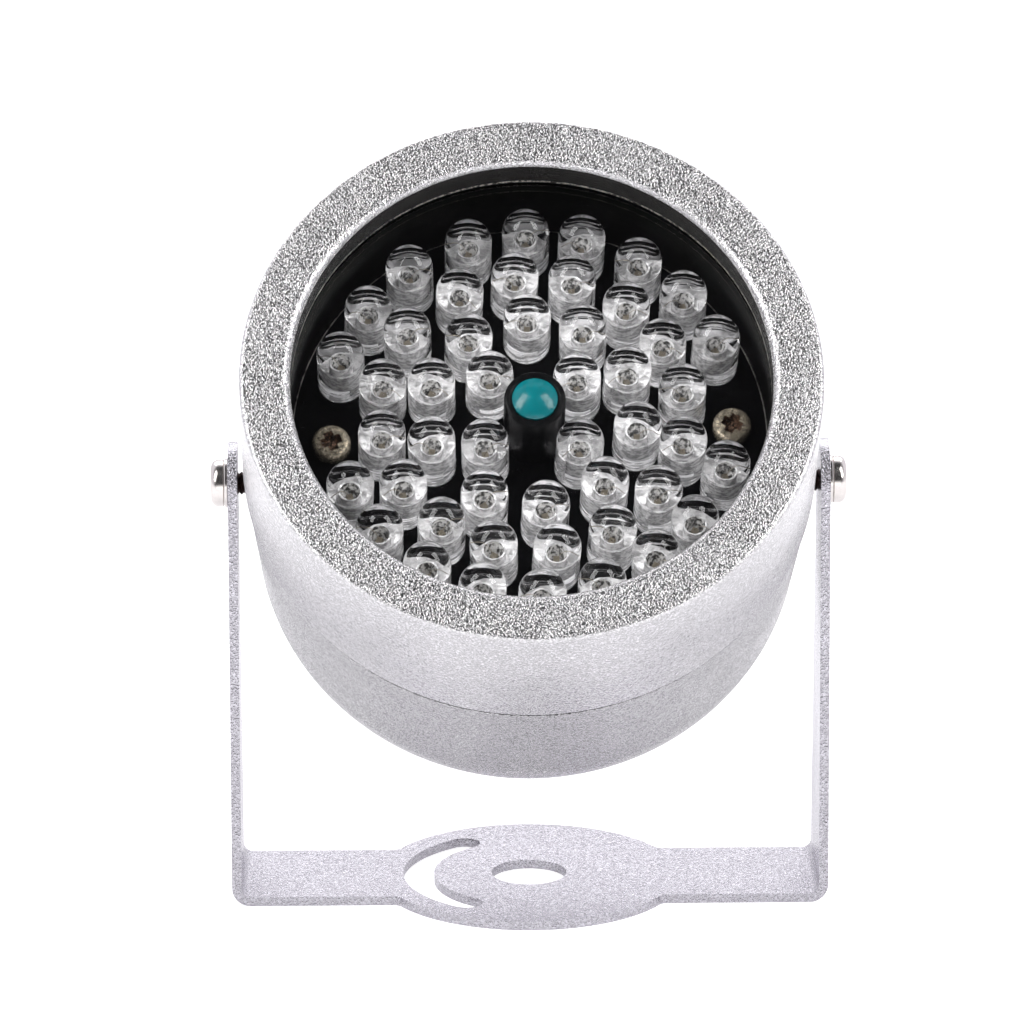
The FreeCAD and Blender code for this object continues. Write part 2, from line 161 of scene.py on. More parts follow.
class StageLook(PropertyGroup):
    distance: FloatProperty(name="Camera distance", description="From the aim to the camera",
                            default=0.7646, unit="LENGTH")
    elevation: FloatProperty(name="Camera elevation", description="Over the horizontal",
                             default=math.radians(16.28), unit="ROTATION")
    azimuth: FloatProperty(name="Camera azimuth", description="Round the object from the front",
                           default=math.radians(-1.0), unit="ROTATION")
    roll: FloatProperty(name="Camera roll", description="About the view direction",
                        default=math.radians(-0.1), unit="ROTATION")
    focal_length: FloatProperty(name="Focal length", description="In millimetres on 36 mm",
                                default=254.9)
    side_light: FloatProperty(name="Side lights", description="Power of each soft box in watts",
                              default=3.3)
    top_light: FloatProperty(name="Top light", description="Power of the overhead soft box in watts",
                             default=1.6)
    front_light: FloatProperty(name="Low front light", description="Power of the low front card in watts",
                               default=0.1)
    light_distance: FloatProperty(name="Light distance", description="From the aim to the side lights",
                                  default=0.75, unit="LENGTH")
    room: FloatProperty(name="Room", description="Brightness of the plain room", default=0.28)


CAMERA_AIM = Vector((-0.00175, 0.0, 0.04113))
SENSOR_WIDTH = 36.0
DARK_DIRECTION = (0.0, -0.7, 0.714)
REFLECTED_TINT = (0.95, 0.93, 1.0)


# Mesh helpers

def at(radius, depth):
    """A profile point: radius from the lamp's axis and depth behind its front face."""
    return Vector((radius, 0.0, FRONT - depth))


def arc(centre, radius, start, end, steps):
    """Points of a round edge in a profile, angles in degrees from the outward radius towards the front."""
    turns = [math.radians(start + (end - start) * step / steps) for step in range(steps + 1)]
    return [centre + Vector((math.cos(turn), 0.0, math.sin(turn))) * radius for turn in turns]


def spin_profile(mesh, profile, steps, closed=True):
    """Spin a profile in the XZ plane about Z into mesh."""
    corners = [mesh.verts.new(point) for point in profile]
    pairs = list(zip(corners, corners[1:]))
    if closed:
        pairs.append((corners[-1], corners[0]))
    edges = [mesh.edges.new(pair) for pair in pairs]
    bmesh.ops.spin(mesh, geom=corners + edges, cent=(0, 0, 0), axis=(0, 0, 1), dvec=(0, 0, 0),
                   angle=2 * math.pi, steps=steps, use_merge=True)
    bmesh.ops.remove_doubles(mesh, verts=mesh.verts, dist=1e-7)
    bmesh.ops.recalc_face_normals(mesh, faces=mesh.faces)


def turned(profile, steps, closed=True):
    """A new bmesh with one turned shape in the lamp's own frame."""
    mesh = bmesh.new()
    spin_profile(mesh, profile, steps, closed)
    return mesh


def append(target, source, matrix):
    """Add a copy of source to target, moved by matrix."""
    carrier = bpy.data.meshes.new("carrier")
    source.to_mesh(carrier)
    carrier.transform(matrix)
    target.from_mesh(carrier)
    bpy.data.meshes.remove(carrier)


def shade(mesh, angle=math.radians(30)):
    """Smooth faces with the true edges kept sharp."""
    mesh.normal_update()
    for face in mesh.faces:
        face.smooth = True
    for edge in mesh.edges:
        if edge.is_manifold and edge.calc_face_angle(0.0) > angle:
            edge.smooth = False


def new_object(name, mesh):
    """A linked object that takes over a bmesh."""
    data = bpy.data.meshes.new(name)
    mesh.to_mesh(data)
    mesh.free()
    made = bpy.data.objects.new(name, data)
    bpy.context.scene.collection.objects.link(made)
    return made


def level_shading(made):
    """Let the large flat faces of a piece set the shading at its edges."""
    modifier = made.modifiers.new("level_shading", "WEIGHTED_NORMAL")
    modifier.keep_sharp = True


def finish_piece(name, mesh, matrix, body, nodes, materials):
    """Place a finished bmesh, give it its materials, tie it to its body and hide the CAD nodes it stands for."""
    mesh.transform(matrix)
    shade(mesh)
    made = new_object(name, mesh)
    for material in materials:
        made.data.materials.append(material)
    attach(made, body)
    if nodes:
        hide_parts(*nodes)
    return made


def carve(mesh, cutters):
    """Apply boolean operations to a bmesh: cutters is a list of (operation, bmesh)."""
    base = new_object("carved", mesh)
    helpers = []
    for operation, shape in cutters:
        helper = new_object("cutter", shape)
        helpers.append(helper)
        modifier = base.modifiers.new("carve", "BOOLEAN")
        modifier.operation = operation
        modifier.solver = "EXACT"
        modifier.object = helper
    depsgraph = bpy.context.evaluated_depsgraph_get()
    result = bpy.data.meshes.new_from_object(base.evaluated_get(depsgraph))
    carved = bmesh.new()
    carved.from_mesh(result)
    for used in [base] + helpers:
        data = used.data
        bpy.data.objects.remove(used)
        bpy.data.meshes.remove(data)
    bpy.data.meshes.remove(result)
    return carved


def cylinder(radius, start, end, steps=32):
    """A closed cylinder between two points."""
    mesh = bmesh.new()
    span = end - start
    turn = span.to_track_quat("Z", "Y").to_matrix().to_4x4()
    bmesh.ops.create_cone(mesh, cap_ends=True, segments=steps, radius1=radius, radius2=radius,
                          depth=span.length, matrix=Matrix.Translation((start + end) / 2) @ turn)
    return mesh


def block(size, centre, mesh=None):
    """A box of the given size about a centre, added to mesh or new."""
    mesh = mesh or bmesh.new()
    scale = Matrix.Diagonal(Vector(size)).to_4x4()
    bmesh.ops.create_cube(mesh, size=1.0, matrix=Matrix.Translation(centre) @ scale)
    return mesh


def islands(node):
    """The separate solids of a CAD node, each as its points in the lamp's own frame."""
    mesh = bmesh.new()
    mesh.from_mesh(frame["nodes"][node].data)
    bmesh.ops.remove_doubles(mesh, verts=mesh.verts, dist=1e-6)
    waiting = set(mesh.verts)
    found = []
    while waiting:
        stack = [waiting.pop()]
        members = []
        while stack:
            vertex = stack.pop()
            members.append(LAMP_INVERSE @ vertex.co)
            for edge in vertex.link_edges:
                other = edge.other_vert(vertex)
                if other in waiting:
                    waiting.discard(other)
                    stack.append(other)
        found.append(members)
    mesh.free()
    return sorted(found, key=lambda points: tuple(round(value, 5) for value in middle(points)))


def middle(points):
    """The mean of some points."""
    return sum(points, Vector()) / len(points)


# Material helpers

def add_node(tree, kind, label="", **settings):
    """A shader node with its settings."""
    made = tree.nodes.new(kind)
    made.label = label
    for key, value in settings.items():
        setattr(made, key, value)
    return made


def set_inputs(made, values):
    """Set a node's unlinked inputs by name."""
    for key, value in values.items():
        made.inputs[key].default_value = value
    return made


def new_group(name, inputs, outputs):
    """A node group with float or colour sockets, given as name: (type, default)."""
    group = bpy.data.node_groups.new(name, "ShaderNodeTree")
    for key, (kind, value) in inputs.items():
        socket = group.interface.new_socket(name=key, in_out="INPUT", socket_type=kind)
        socket.default_value = value
    for key, kind in outputs.items():
        group.interface.new_socket(name=key, in_out="OUTPUT", socket_type=kind)
    return group


def group_once(name, build):
    """The named node group, built the first time it is asked for."""
    return bpy.data.node_groups.get(name) or build(name)


def build_grain(name):
    """Worm-like hammered grain of the metallic paint, with fine flakes."""
    group = new_group(
        name,
        {"Silver": ("NodeSocketColor", (0.7, 0.7, 0.7, 1.0)),
         "Shade": ("NodeSocketColor", (0.3, 0.3, 0.3, 1.0)),
         "Scale": ("NodeSocketFloat", 3000.0),
         "Contrast": ("NodeSocketFloat", 1.0)},
        {"Color": "NodeSocketColor", "Roughness": "NodeSocketFloat", "Height": "NodeSocketFloat"})
    tree = group
    entry = add_node(tree, "NodeGroupInput")
    leave = add_node(tree, "NodeGroupOutput")
    place = add_node(tree, "ShaderNodeTexCoord")
    worms = set_inputs(add_node(tree, "ShaderNodeTexNoise", "worms", noise_dimensions="3D"),
                       {"Detail": 0.6, "Roughness": 0.5, "Distortion": 0.9})
    flakes = add_node(tree, "ShaderNodeTexVoronoi", "flakes", feature="F1")
    finer = add_node(tree, "ShaderNodeMath", operation="MULTIPLY")
    finer.inputs[1].default_value = 1.9
    cloud = set_inputs(add_node(tree, "ShaderNodeTexNoise", "cloud"),
                       {"Scale": 160.0, "Detail": 2.0, "Roughness": 0.5})
    ramp = set_inputs(add_node(tree, "ShaderNodeMapRange", "spread", interpolation_type="SMOOTHSTEP"),
                      {"From Min": 0.3, "From Max": 0.7, "To Min": 0.0, "To Max": 1.0})
    flake_tone = add_node(tree, "ShaderNodeSeparateColor")
    blend = add_node(tree, "ShaderNodeMix", data_type="FLOAT")
    blend.inputs["Factor"].default_value = 0.38
    levelled = add_node(tree, "ShaderNodeMix", data_type="FLOAT")
    levelled.inputs[2].default_value = 0.62
    colour = add_node(tree, "ShaderNodeMix", data_type="RGBA")
    rough = set_inputs(add_node(tree, "ShaderNodeMapRange"),
                       {"From Min": 0.3, "From Max": 0.7, "To Min": 0.2, "To Max": 0.27})
    link = tree.links.new
    link(place.outputs["Object"], worms.inputs["Vector"])
    link(place.outputs["Object"], flakes.inputs["Vector"])
    link(place.outputs["Object"], cloud.inputs["Vector"])
    link(entry.outputs["Scale"], worms.inputs["Scale"])
    link(entry.outputs["Scale"], finer.inputs[0])
    link(finer.outputs[0], flakes.inputs["Scale"])
    link(worms.outputs["Fac"], ramp.inputs["Value"])
    link(flakes.outputs["Color"], flake_tone.inputs["Color"])
    link(ramp.outputs["Result"], blend.inputs[2])
    link(flake_tone.outputs["Red"], blend.inputs[3])
    link(entry.outputs["Contrast"], levelled.inputs["Factor"])
    link(blend.outputs[0], levelled.inputs[3])
    link(levelled.outputs[0], colour.inputs["Factor"])
    link(entry.outputs["Shade"], colour.inputs[6])
    link(entry.outputs["Silver"], colour.inputs[7])
    link(cloud.outputs["Fac"], rough.inputs["Value"])
    link(colour.outputs[2], leave.inputs["Color"])
    link(rough.outputs["Result"], leave.inputs["Roughness"])
    link(ramp.outputs["Result"], leave.inputs["Height"])
    return group


def build_speckle(name):
    """Small uneven tone of a plain surface: a colour varied by noise, and a roughness and height."""
    group = new_group(
        name,
        {"Color": ("NodeSocketColor", (0.5, 0.5, 0.5, 1.0)),
         "Scale": ("NodeSocketFloat", 1500.0),
         "Variation": ("NodeSocketFloat", 0.2),
         "Contrast": ("NodeSocketFloat", 1.0),
         "Smooth": ("NodeSocketFloat", 0.3),
         "Rough": ("NodeSocketFloat", 0.5)},
        {"Color": "NodeSocketColor", "Roughness": "NodeSocketFloat", "Height": "NodeSocketFloat"})
    tree = group
    entry = add_node(tree, "NodeGroupInput")
    leave = add_node(tree, "NodeGroupOutput")
    place = add_node(tree, "ShaderNodeTexCoord")
    noise = set_inputs(add_node(tree, "ShaderNodeTexNoise"), {"Detail": 4.0, "Roughness": 0.6})
    centred = add_node(tree, "ShaderNodeMath", operation="SUBTRACT")
    centred.inputs[1].default_value = 0.5
    spread = add_node(tree, "ShaderNodeMath", operation="MULTIPLY_ADD", use_clamp=True)
    spread.inputs[2].default_value = 0.5
    dark = add_node(tree, "ShaderNodeMix", data_type="RGBA", blend_type="MULTIPLY")
    dark.inputs[7].default_value = (0.0, 0.0, 0.0, 1.0)
    amount = add_node(tree, "ShaderNodeMath", operation="MULTIPLY")
    rough = add_node(tree, "ShaderNodeMapRange")
    link = tree.links.new
    link(place.outputs["Object"], noise.inputs["Vector"])
    link(entry.outputs["Scale"], noise.inputs["Scale"])
    link(noise.outputs["Fac"], centred.inputs[0])
    link(centred.outputs[0], spread.inputs[0])
    link(entry.outputs["Contrast"], spread.inputs[1])
    link(spread.outputs[0], amount.inputs[0])
    link(entry.outputs["Variation"], amount.inputs[1])
    link(amount.outputs[0], dark.inputs["Factor"])
    link(entry.outputs["Color"], dark.inputs[6])
    link(noise.outputs["Fac"], rough.inputs["Value"])
    link(entry.outputs["Smooth"], rough.inputs["To Min"])
    link(entry.outputs["Rough"], rough.inputs["To Max"])
    link(dark.outputs[2], leave.inputs["Color"])
    link(rough.outputs["Result"], leave.inputs["Roughness"])
    link(noise.outputs["Fac"], leave.inputs["Height"])
    return group


def new_material(name):
    """A material with its Principled shader."""
    material = bpy.data.materials.new(name)
    material.use_nodes = True
    return material, material.node_tree, material.node_tree.nodes["Principled BSDF"]


def place_group(tree, group, values):
    """A group node with its own values."""
    made = add_node(tree, "ShaderNodeGroup")
    made.node_tree = group
    return set_inputs(made, values)


def silver_paint(name, tone=(1.0, 1.0, 1.0), contrast=1.0, relief=1.0):
    """Metallic silver paint with a fine hammered grain, its colour times tone."""
    look = bpy.context.scene.paint_look
    silver = [value * share for value, share in zip(look.silver, tone)]
    hollow = [value * share for value, share in zip(look.shade, tone)]
    material, tree, shader = new_material(name)
    grain = place_group(tree, group_once("hammered_grain", build_grain),
                        {"Silver": (*silver, 1.0), "Shade": (*hollow, 1.0),
                         "Scale": 1.0 / look.grain_size, "Contrast": contrast})
    bump = set_inputs(add_node(tree, "ShaderNodeBump"),
                      {"Strength": 1.0, "Distance": look.grain_height * relief})
    tree.links.new(grain.outputs["Color"], shader.inputs["Base Color"])
    tree.links.new(grain.outputs["Roughness"], shader.inputs["Roughness"])
    tree.links.new(grain.outputs["Height"], bump.inputs["Height"])
    tree.links.new(bump.outputs["Normal"], shader.inputs["Normal"])
    set_inputs(shader, {"Metallic": 0.92})
    return material


def speckled(name, colour, scale=1500.0, variation=0.25, contrast=1.0, smooth=0.3, rough=0.5,
             metallic=0.0, bump_height=0.00001, **more):
    """A plain surface with uneven tone, roughness and a faint relief."""
    material, tree, shader = new_material(name)
    speckle = place_group(tree, group_once("surface_speckle", build_speckle),
                          {"Color": (*colour, 1.0), "Scale": scale, "Variation": variation,
                           "Contrast": contrast,
                           "Smooth": smooth, "Rough": rough})
    bump = set_inputs(add_node(tree, "ShaderNodeBump"), {"Strength": 1.0, "Distance": bump_height})
    tree.links.new(speckle.outputs["Color"], shader.inputs["Base Color"])
    tree.links.new(speckle.outputs["Roughness"], shader.inputs["Roughness"])
    tree.links.new(speckle.outputs["Height"], bump.inputs["Height"])
    tree.links.new(bump.outputs["Normal"], shader.inputs["Normal"])
    set_inputs(shader, {"Metallic": metallic, **more})
    return material


def clear(name, colour, ior, roughness, clarity=1.0, **more):
    """A clear solid, glass or cast resin, that lets the lamps' light through."""
    material, tree, shader = new_material(name)
    path = add_node(tree, "ShaderNodeLightPath")
    cover = add_node(tree, "ShaderNodeMath", "light passes", operation="SUBTRACT")
    cover.inputs[0].default_value = 1.0
    tree.links.new(path.outputs["Is Shadow Ray"], cover.inputs[1])
    tree.links.new(cover.outputs[0], shader.inputs["Alpha"])
    set_inputs(shader, {"Base Color": (*colour, 1.0), "Roughness": roughness, "IOR": ior,
                        "Transmission Weight": clarity, **more})
    return material


def once(name, build, *args, **more):
    """A material that is built the first time a piece asks for it."""
    return bpy.data.materials.get(name) or build(name, *args, **more)


def rubber():
    return once("soft_black_rubber", speckled, (0.012, 0.012, 0.013), scale=2500.0, variation=0.4,
                smooth=0.34, rough=0.5, bump_height=0.000008)


def black_plastic():
    return once("matt_black_plastic", speckled, (0.0025, 0.0025, 0.0025), scale=900.0, smooth=0.4,
                rough=0.55, **{"Specular IOR Level": 0.02})


def nickel():
    return once("nickel_plate", speckled, (0.82, 0.78, 0.75), scale=900.0, variation=0.25,
                smooth=0.12, rough=0.3, metallic=1.0, bump_height=0.000006)


# Near-black alloy for the faces inside the seam between the shells: painted shade of the gap.
def painted_seam_shade():
    return once("bare_dark_alloy", speckled, (0.02, 0.02, 0.02), scale=1500.0, variation=0.4,
                smooth=0.5, rough=0.8, metallic=0.3)


def warm_nickel():
    return once("warm_nickel_plate", speckled, (0.93, 0.81, 0.62), scale=2600.0, variation=0.6,
                contrast=4.0, smooth=0.1, rough=0.25, metallic=0.8, bump_height=0.00007)


# Dark brown for the threaded shanks: painted shade of the shank in the gap beside the housing.
def shank_shade():
    return once("oiled_dark_thread", speckled, (0.17, 0.12, 0.11), scale=2600.0, variation=0.8,
                contrast=3.0, smooth=0.25, rough=0.5, metallic=0.9, bump_height=0.00002)


# Dark brown for the pivot screws' cross recess: painted shade of the recess.
def pivot_recess_shade():
    return once("recess_grime", speckled, (0.10, 0.075, 0.055), scale=5000.0, variation=0.8,
                smooth=0.35, rough=0.8, metallic=0.6, bump_height=0.00006)


# Brown flecked metal for the board screws' cross recess: painted shade of the recess, with painted glints.
def brown_recess():
    return once("brown_recess", speckled, (0.42, 0.27, 0.19), scale=4200.0, variation=0.97,
                contrast=8.0, smooth=0.1, rough=0.4, metallic=0.8, bump_height=0.0002)


# Housing

def mark(mesh, number, radius, top, bottom):
    """Give the faces inside a radius, between two depths, one of the piece's further materials."""
    for face in mesh.faces:
        centre = face.calc_center_median()
        if math.hypot(centre.x, centre.y) < radius and top < FRONT - centre.z < bottom:
            face.material_index = number


SEAT_EDGE = 0.0003


def front_profile(size):
    """Bezel, bore with fine turned lines, lip, window seat, thread wall and outer wall."""
    groove_pitch = 0.0005
    groove_depth = 0.000025
    edge = size.edge_radius
    bore = size.opening_radius
    soft = size.soft_edge
    points = [at(bore, size.lip_depth), at(bore, size.lip_depth - SEAT_EDGE)]
    for line in range(4, 0, -1):
        depth = edge + groove_pitch * line
        points += [at(bore, depth + groove_pitch * 0.3), at(bore + groove_depth, depth),
                   at(bore, depth - groove_pitch * 0.3)]
    points += arc(at(bore + edge, edge), edge, 180, 90, 8)
    outer = size.outer_edge
    points += arc(at(size.bezel_radius - outer, outer), outer, 90, 0, 8)
    points += arc(at(size.bezel_radius - soft, size.seam_depth - soft), soft, 0, -90, 3)
    points += [at(size.thread_radius, size.seam_depth), at(size.thread_radius, size.thread_top),
               at(size.seat_radius, size.thread_top), at(size.seat_radius, size.lip_depth)]
    return points


class ILLUMINATOR_OT_front_shell(Operator):
    """Front casting with bezel and lip"""
    bl_idname = "illuminator.front_shell"
    bl_label = "Front shell"

    def execute(self, context):
        size = context.scene.housing_sizes
        mesh = turned(front_profile(size), size.lathe_steps)
        # Faces of the seam, thread and seat walls get the near-black alloy: painted shade of the gap.
        mark(mesh, 1, size.bezel_radius - 2 * size.soft_edge, size.lip_depth, size.seam_depth + 0.001)
        # The bore between the inner edge and the lip gets a near-black silver: painted shade of the deep bore.
        mark(mesh, 2, size.opening_radius + size.edge_radius, size.edge_radius * 0.8, size.lip_depth)
        # A narrow band of the bore at the window seat gets a bright metal finish broken into bright and dark dots.
        mark(mesh, 3, size.opening_radius + size.edge_radius, size.lip_depth - SEAT_EDGE, size.lip_depth)
        seat_dots = once("worn_seat_edge", speckled, (0.92, 0.88, 0.80), scale=3200.0, variation=0.97, contrast=9.0,
                    smooth=0.2, rough=0.4, metallic=0.85, bump_height=0.0001)
        finish_piece("front_casting", mesh, LAMP_PLACE, "lamp", ["front_shell"],
                     [once("hammered_silver", silver_paint, contrast=0.8, relief=0.88), painted_seam_shade(),
                      once("hammered_bore", silver_paint, (0.075, 0.073, 0.07), relief=3.0), seat_dots])
        return {"FINISHED"}


REAR_RADIUS = 0.0298
SHOULDER_RADIUS = 0.02875
SHOULDER_DEPTH = 0.0342
BACK_FLAT_RADIUS = 0.01275
BACK_DEPTH = depth_span("rear_shell")[1]
BACK_WALL = 0.0024
SPIGOT_TOP = depth_span("rear_shell")[0]
SPIGOT_BORE = 0.0266
SEAL_GROOVE_RADIUS = 0.0271
SEAL_GROOVE_TOP = 0.0166
INLET_RADIUS = 0.0035
COLUMN_RADIUS = 0.0034
BOARD_BACK = depth_span("led_board")[1]
THREAD_FIT = 0.0001


def shoulder(radius, depth, length, reach_in, steps):
    """A quarter of an ellipse from the wall round to the flat back."""
    points = []
    for step in range(1, steps + 1):
        turn = math.pi / 2 * step / steps
        points.append(at(radius - reach_in * (1 - math.cos(turn)), depth + length * math.sin(turn)))
    return points


def rear_profile(size):
    """Outside and inside of the rear casting."""
    seam = size.seam_depth + size.seam_gap
    soft = size.soft_edge
    spigot = size.thread_radius - THREAD_FIT
    length = BACK_DEPTH - SHOULDER_DEPTH
    points = [at(spigot, SPIGOT_TOP), at(spigot, SEAL_GROOVE_TOP), at(SEAL_GROOVE_RADIUS, SEAL_GROOVE_TOP),
              at(SEAL_GROOVE_RADIUS, seam)]
    points += arc(at(REAR_RADIUS - soft, seam + soft), soft, 90, 0, 3)
    points.append(at(SHOULDER_RADIUS, SHOULDER_DEPTH))
    points += shoulder(SHOULDER_RADIUS, SHOULDER_DEPTH, length, SHOULDER_RADIUS - BACK_FLAT_RADIUS, 20)
    points += [at(INLET_RADIUS, BACK_DEPTH), at(INLET_RADIUS, BACK_DEPTH - BACK_WALL)]
    inner = shoulder(SHOULDER_RADIUS - BACK_WALL, SHOULDER_DEPTH, length - BACK_WALL,
                     SHOULDER_RADIUS - BACK_FLAT_RADIUS, 12)
    points += list(reversed(inner))
    points += [at(SHOULDER_RADIUS - BACK_WALL, SHOULDER_DEPTH), at(SPIGOT_BORE, size.seam_depth),
               at(SPIGOT_BORE, SPIGOT_TOP)]
    return points


def column_limit():
    """Half of the wall's thickness: what the columns may reach."""
    half = BACK_WALL / 2
    points = [at(0, BOARD_BACK), at(SPIGOT_BORE + 0.0004, BOARD_BACK), at(SHOULDER_RADIUS - half, SHOULDER_DEPTH)]
    points += shoulder(SHOULDER_RADIUS - half, SHOULDER_DEPTH, BACK_DEPTH - SHOULDER_DEPTH - half,
                       SHOULDER_RADIUS - BACK_FLAT_RADIUS, 20)
    return points + [at(0, BACK_DEPTH - half)]


def screw_axes(node):
    """For each screw of a CAD node: its middle in the lamp's own frame."""
    return [middle(points) for points in islands(node)]


class ILLUMINATOR_OT_rear_shell(Operator):
    """Rear casting with columns for the board and the pivot screws"""
    bl_idname = "illuminator.rear_shell"
    bl_label = "Rear shell"

    def execute(self, context):
        size = context.scene.housing_sizes
        bottom = FRONT - BACK_DEPTH
        top = FRONT - BOARD_BACK
        cutters = []
        for place in screw_axes("board_screws"):
            side = math.copysign(1.0, place.x)
            foot = Vector((place.x, place.y, bottom))
            head = Vector((place.x, place.y, top))
            wall = side * REAR_RADIUS
            web_size = (abs(wall - place.x), 2 * COLUMN_RADIUS, top - bottom)
            web_centre = Vector(((wall + place.x) / 2, place.y, (top + bottom) / 2))
            column = carve(cylinder(COLUMN_RADIUS, foot, head),
                           [("UNION", block(web_size, web_centre)),
                            ("INTERSECT", turned(column_limit(), size.lathe_steps, closed=False))])
            deep = Vector((place.x, place.y, top - 0.005))
            cutters += [("UNION", column),
                        ("DIFFERENCE", cylinder(0.0011, deep, head + Vector((0, 0, 0.001))))]
        for side in (-1, 1):
            start = Vector((side * 0.0214, 0, 0))
            end = Vector((side * 0.031, 0, 0))
            cutters.append(("DIFFERENCE", cylinder(0.00127, start, end)))
        mesh = carve(turned(rear_profile(size), size.lathe_steps), cutters)
        # Faces of the spigot and seal groove inside the seam get the near-black alloy: painted shade of the gap.
        mark(mesh, 1, REAR_RADIUS - 2 * size.soft_edge, 0.0, size.seam_depth + size.seam_gap + 0.0001)
        # The rear casting's silver is darker than the front's: partly its own tone, partly painted shade of the
        # rear shell.
        made = finish_piece("rear_casting", mesh, LAMP_PLACE, "lamp", ["rear_shell"],
                            [once("hammered_silver_rear", silver_paint, (0.78, 0.78, 0.78), relief=1.5),
                             painted_seam_shade()])
        level_shading(made)
        return {"FINISHED"}


class ILLUMINATOR_OT_seals(Operator):
    """Window gasket, seam seal and the tube between window and board"""
    bl_idname = "illuminator.seals"
    bl_label = "Seals and tube"

    def execute(self, context):
        size = context.scene.housing_sizes
        self.ring("window_gasket_ring", "window_gasket", size.opening_radius + THREAD_FIT, rubber(),
                  "black_rubber", size.lathe_steps)
        self.ring("seam_seal_ring", "seam_seal", SEAL_GROOVE_RADIUS, rubber(), "black_rubber",
                  size.lathe_steps)
        self.ring("black_tube", "spacer_tube", 0.0249, black_plastic(), "black_plastic",
                  size.lathe_steps)
        return {"FINISHED"}

    @staticmethod
    def ring(name, node, inner, material, slot, steps):
        """A round ring in the place of a CAD ring."""
        outer = reach(node)
        top, bottom = depth_span(node)
        mesh = turned([at(inner, top), at(outer, top), at(outer, bottom), at(inner, bottom)], steps)
        finish_piece(name, mesh, LAMP_PLACE, "lamp", [node], [material])


class ILLUMINATOR_OT_window(Operator):
    """Material of the clear window"""
    bl_idname = "illuminator.window"
    bl_label = "Window"

    def execute(self, context):
        assign("window", once("window_pane", clear, (1.0, 1.0, 1.0), 1.5, 0.0))
        return {"FINISHED"}


def assign(node, material):
    """Give a CAD node a material in place of its own."""
    data = frame["nodes"][node].data
    data.materials.clear()
    data.materials.append(material)


# Board, diodes and sensor

class ILLUMINATOR_OT_board(Operator):
    """Board finish, its bare rim and the parts on its back"""
    bl_idname = "illuminator.board"
    bl_label = "Board"

    def execute(self, context):
        size = context.scene.housing_sizes
        assign("led_board", once("black_resist", speckled, (0.002, 0.002, 0.0025), scale=700.0,
                                 variation=0.3, smooth=0.16, rough=0.3, bump_height=0.000004,
                                 **{"Specular IOR Level": 0.06}))
        moulded = once("epoxy_case", speckled, (0.02, 0.02, 0.021), scale=4000.0, smooth=0.45, rough=0.6)
        for node in ("resistors", "switch_transistor", "input_diode"):
            assign(node, moulded)
        top = depth_span("led_board")[0]
        rim = turned([at(0.02468, top - 0.00003), at(0.02482, top - 0.00003), at(0.02482, top + 0.00001),
                      at(0.02468, top + 0.00001)], size.lathe_steps)
        tin = once("tinned_copper", speckled, (0.30, 0.29, 0.27), scale=900.0, variation=0.8, contrast=4.0,
                   smooth=0.3, rough=0.5, metallic=0.8)
        finish_piece("board_rim_track", rim, LAMP_PLACE, "lamp", [], [tin])
        return {"FINISHED"}


def resin_body(size, height):
    """A diode's clear body: round wall with two mould lines, domed tip and a foot with a white mottled middle of
    painted light.
    """
    radius = size.radius
    soft = 0.0002
    dome = height - radius
    profile = [Vector((0, 0, height))]
    profile += list(reversed(arc(Vector((0, 0, dome)), radius, 0, 80, 9)))
    for line in (0.0021, 0.0013):
        profile += [Vector((radius, 0, line + 0.00014)), Vector((radius - 0.0001, 0, line)),
                    Vector((radius, 0, line - 0.00014))]
    profile += arc(Vector((radius - soft, 0, size.base_gap + soft)), soft, 0, -90, 3)
    profile += [Vector((size.painted_foot_radius, 0, size.base_gap)), Vector((0, 0, size.base_gap))]
    mesh = turned(profile, size.body_steps, closed=False)
    # The middle of the foot gets the white mottled finish: painted light and shade in place of the light that the
    # resin gathers.
    for face in mesh.faces:
        centre = face.calc_center_median()
        if centre.z < size.base_gap + 0.00001 and math.hypot(centre.x, centre.y) < size.painted_foot_radius:
            face.material_index = 1
    return mesh


def lead_frame(size):
    """Anvil with reflector cup, and post, inside a diode: one wide flat frame of sheet metal."""
    mesh = bmesh.new()
    level = size.cup_level
    rim = size.cup_radius
    thickness = 0.0005
    cup_foot = level - 0.00085
    cup = turned([Vector((0.00048, 0, cup_foot)), Vector((rim, 0, level)), Vector((rim - 0.0001, 0, level)),
                  Vector((0.0003, 0, cup_foot + 0.00025)), Vector((0, 0, cup_foot + 0.00025)),
                  Vector((0, 0, cup_foot))], 24, closed=True)
    # The inside of the cup gets the blotched bright finish: painted glints and shade.
    for face in cup.faces:
        centre = face.calc_center_median()
        if math.hypot(centre.x, centre.y) < rim - 0.00011 and centre.z > cup_foot + 0.0001:
            face.material_index = 1
    append(mesh, cup, Matrix.Identity(4))
    cup.free()
    anvil = cylinder(0.0011, Vector((0.00035, 0, 0.0019)), Vector((0.0002, 0, cup_foot + 0.0001)), 16)
    append(mesh, anvil, Matrix.Identity(4))
    anvil.free()
    post = cylinder(0.00048, Vector((-0.00158, 0, 0.0014)), Vector((-0.0015, 0, level - 0.0004)), 12)
    append(mesh, post, Matrix.Identity(4))
    post.free()
    block((0.0009, thickness, 0.0022), Vector((0.0010, 0, 0.0012)), mesh)
    block((0.0007, thickness, 0.0016), Vector((-0.00145, 0, 0.0009)), mesh)
    return mesh


